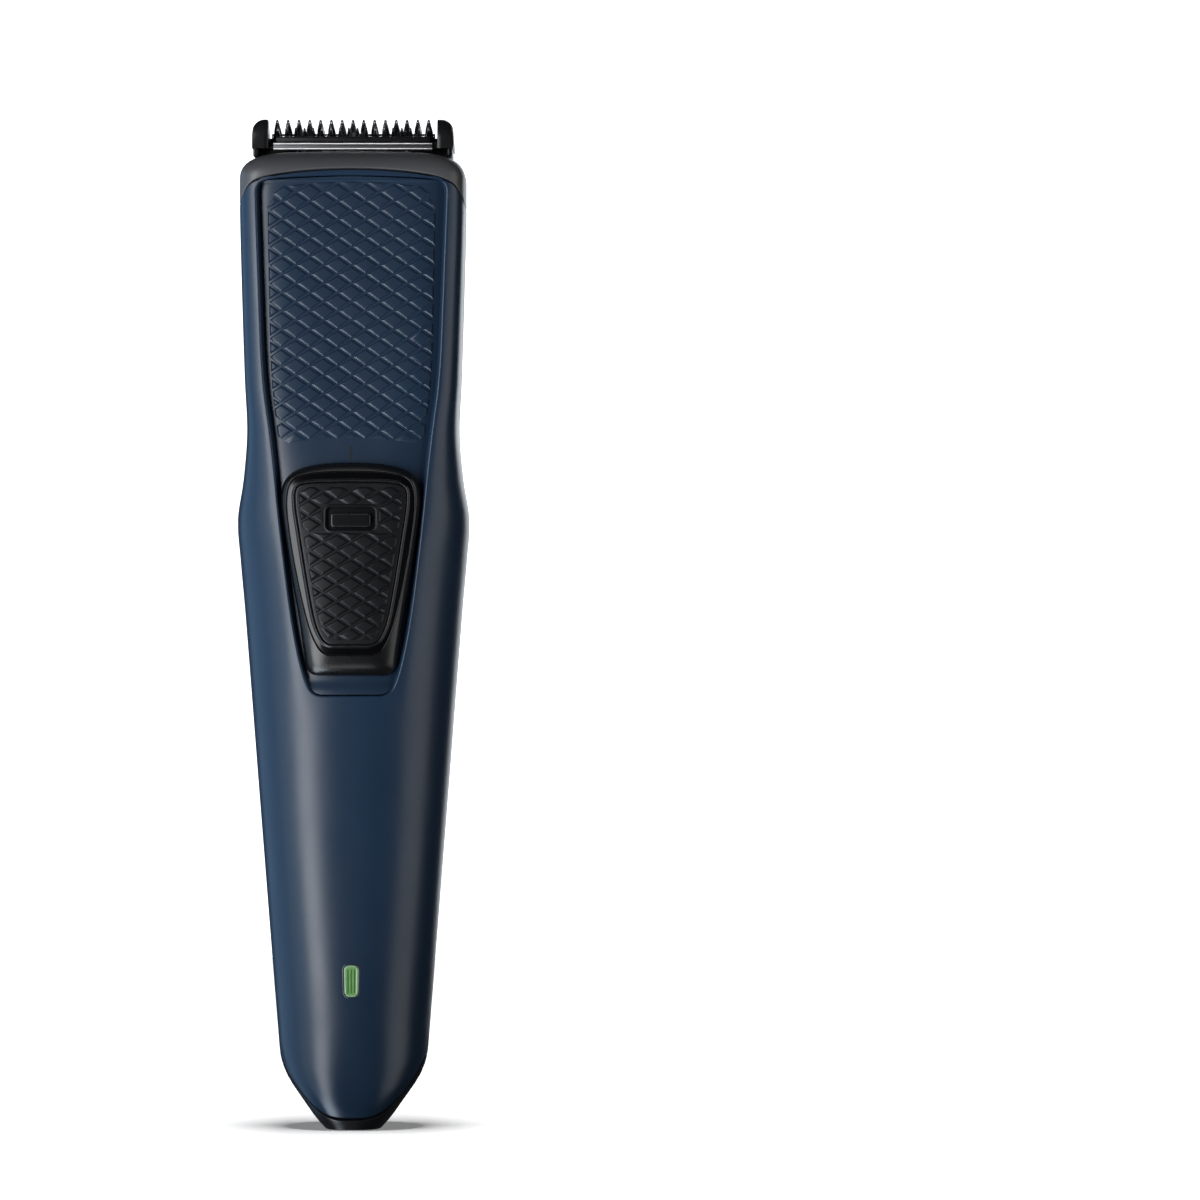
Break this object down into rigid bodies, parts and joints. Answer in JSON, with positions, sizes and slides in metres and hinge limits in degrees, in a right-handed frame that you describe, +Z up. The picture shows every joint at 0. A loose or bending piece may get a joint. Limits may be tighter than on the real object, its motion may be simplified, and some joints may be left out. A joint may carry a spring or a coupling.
{
  "type": "beard trimmer",
  "caption": "Cordless beard trimmer: tapered two-shell body, neck collar, thumb slide switch in a textured front recess, and a hinged head with a fixed guard blade and an oscillating cutter.",
  "frame": {"origin": "middle of the trimmer's outline on the surface its base stands on", "axes": "+Z up along the body to the blades, -Y out of the front face with the switch, +X to the right seen from the front"},
  "size_m": [0.0368, 0.03, 0.1601],
  "materials": {
    "navy": "satin moulded navy ABS with a soft gloss",
    "black": "satin moulded black ABS",
    "collar": "dark grey satin plastic",
    "panel": "slate blue plastic with raised diamonds",
    "pad": "black plastic with raised diamonds",
    "green": "translucent green light guide",
    "steel": "hardened stainless steel, ground",
    "zinc": "zinc-plated steel",
    "magnet": "sintered ferrite",
    "copper": "copper windings on a laminated core",
    "brass": "plated contact brass",
    "board": "glass-epoxy circuit board",
    "cell": "metal can in a green printed sleeve with no lettering",
    "nylon": "natural white nylon",
    "rubber": "black elastomer seal"
  },
  "bodies": {
    "housing": {"front_shell": "navy", "rear_shell": "black", "neck_collar": "collar", "front_panel": "panel", "charge_window": "green", "chassis": "nylon", "chassis_screw": "steel", "charging_socket": "black", "circuit_board": "board", "charge_lamp": "nylon", "contact_switch": "zinc", "battery_cell": "cell", "battery_tab_lower": "zinc", "battery_tab_upper": "zinc", "bridge_retainer": "nylon", "drive_seal": "rubber", "socket_pin_front": "brass", "socket_pin_rear": "brass", "motor_screw_left": "steel", "motor_screw_right": "steel", "retainer_screw_left": "steel", "retainer_screw_right": "steel", "motor_can": "zinc", "motor_end_cap": "nylon", "motor_magnet_left": "magnet", "motor_magnet_right": "magnet", "head_hinge_pin": "steel"},
    "switch": {"switch_slide": "black", "switch_pad": "pad", "switch_carriage": "nylon"},
    "rotor": {"motor_shaft": "steel", "motor_armature": "copper", "drive_eccentric": "nylon"},
    "bridge": {"drive_bridge": "nylon"},
    "head": {"head_frame": "black", "guard_blade": "steel", "guard_screw_left": "steel", "guard_screw_right": "steel", "blade_strip": "steel", "cutter_spring": "steel"},
    "cutter": {"cutter_blade": "steel", "cutter_carrier": "black"}
  },
  "joints": [
    {"name": "switch_travel", "type": "slide", "parent": "housing", "child": "switch", "axis": [0, 0, 1], "range_m": [0, 0.003]},
    {"name": "rotor_spin", "type": "hinge", "parent": "housing", "child": "rotor", "pos_m": [0, 0.0015, 0.13], "axis": [0, 0, 1], "continuous": true},
    {"name": "bridge_sway", "type": "slide", "parent": "housing", "child": "bridge", "axis": [1, 0, 0], "range_m": [-0.0007, 0.0007]},
    {"name": "head_flip", "type": "hinge", "parent": "housing", "child": "head", "pos_m": [0, 0.0094, 0.1559], "axis": [-1, 0, 0], "range_deg": [0, 50]},
    {"name": "cutter_sway", "type": "slide", "parent": "head", "child": "cutter", "axis": [1, 0, 0], "range_m": [-0.0007, 0.0007]}
  ],
  "couplings": [
    {"joint": "cutter_sway", "follows": "bridge_sway", "ratio": 1}
  ]
}
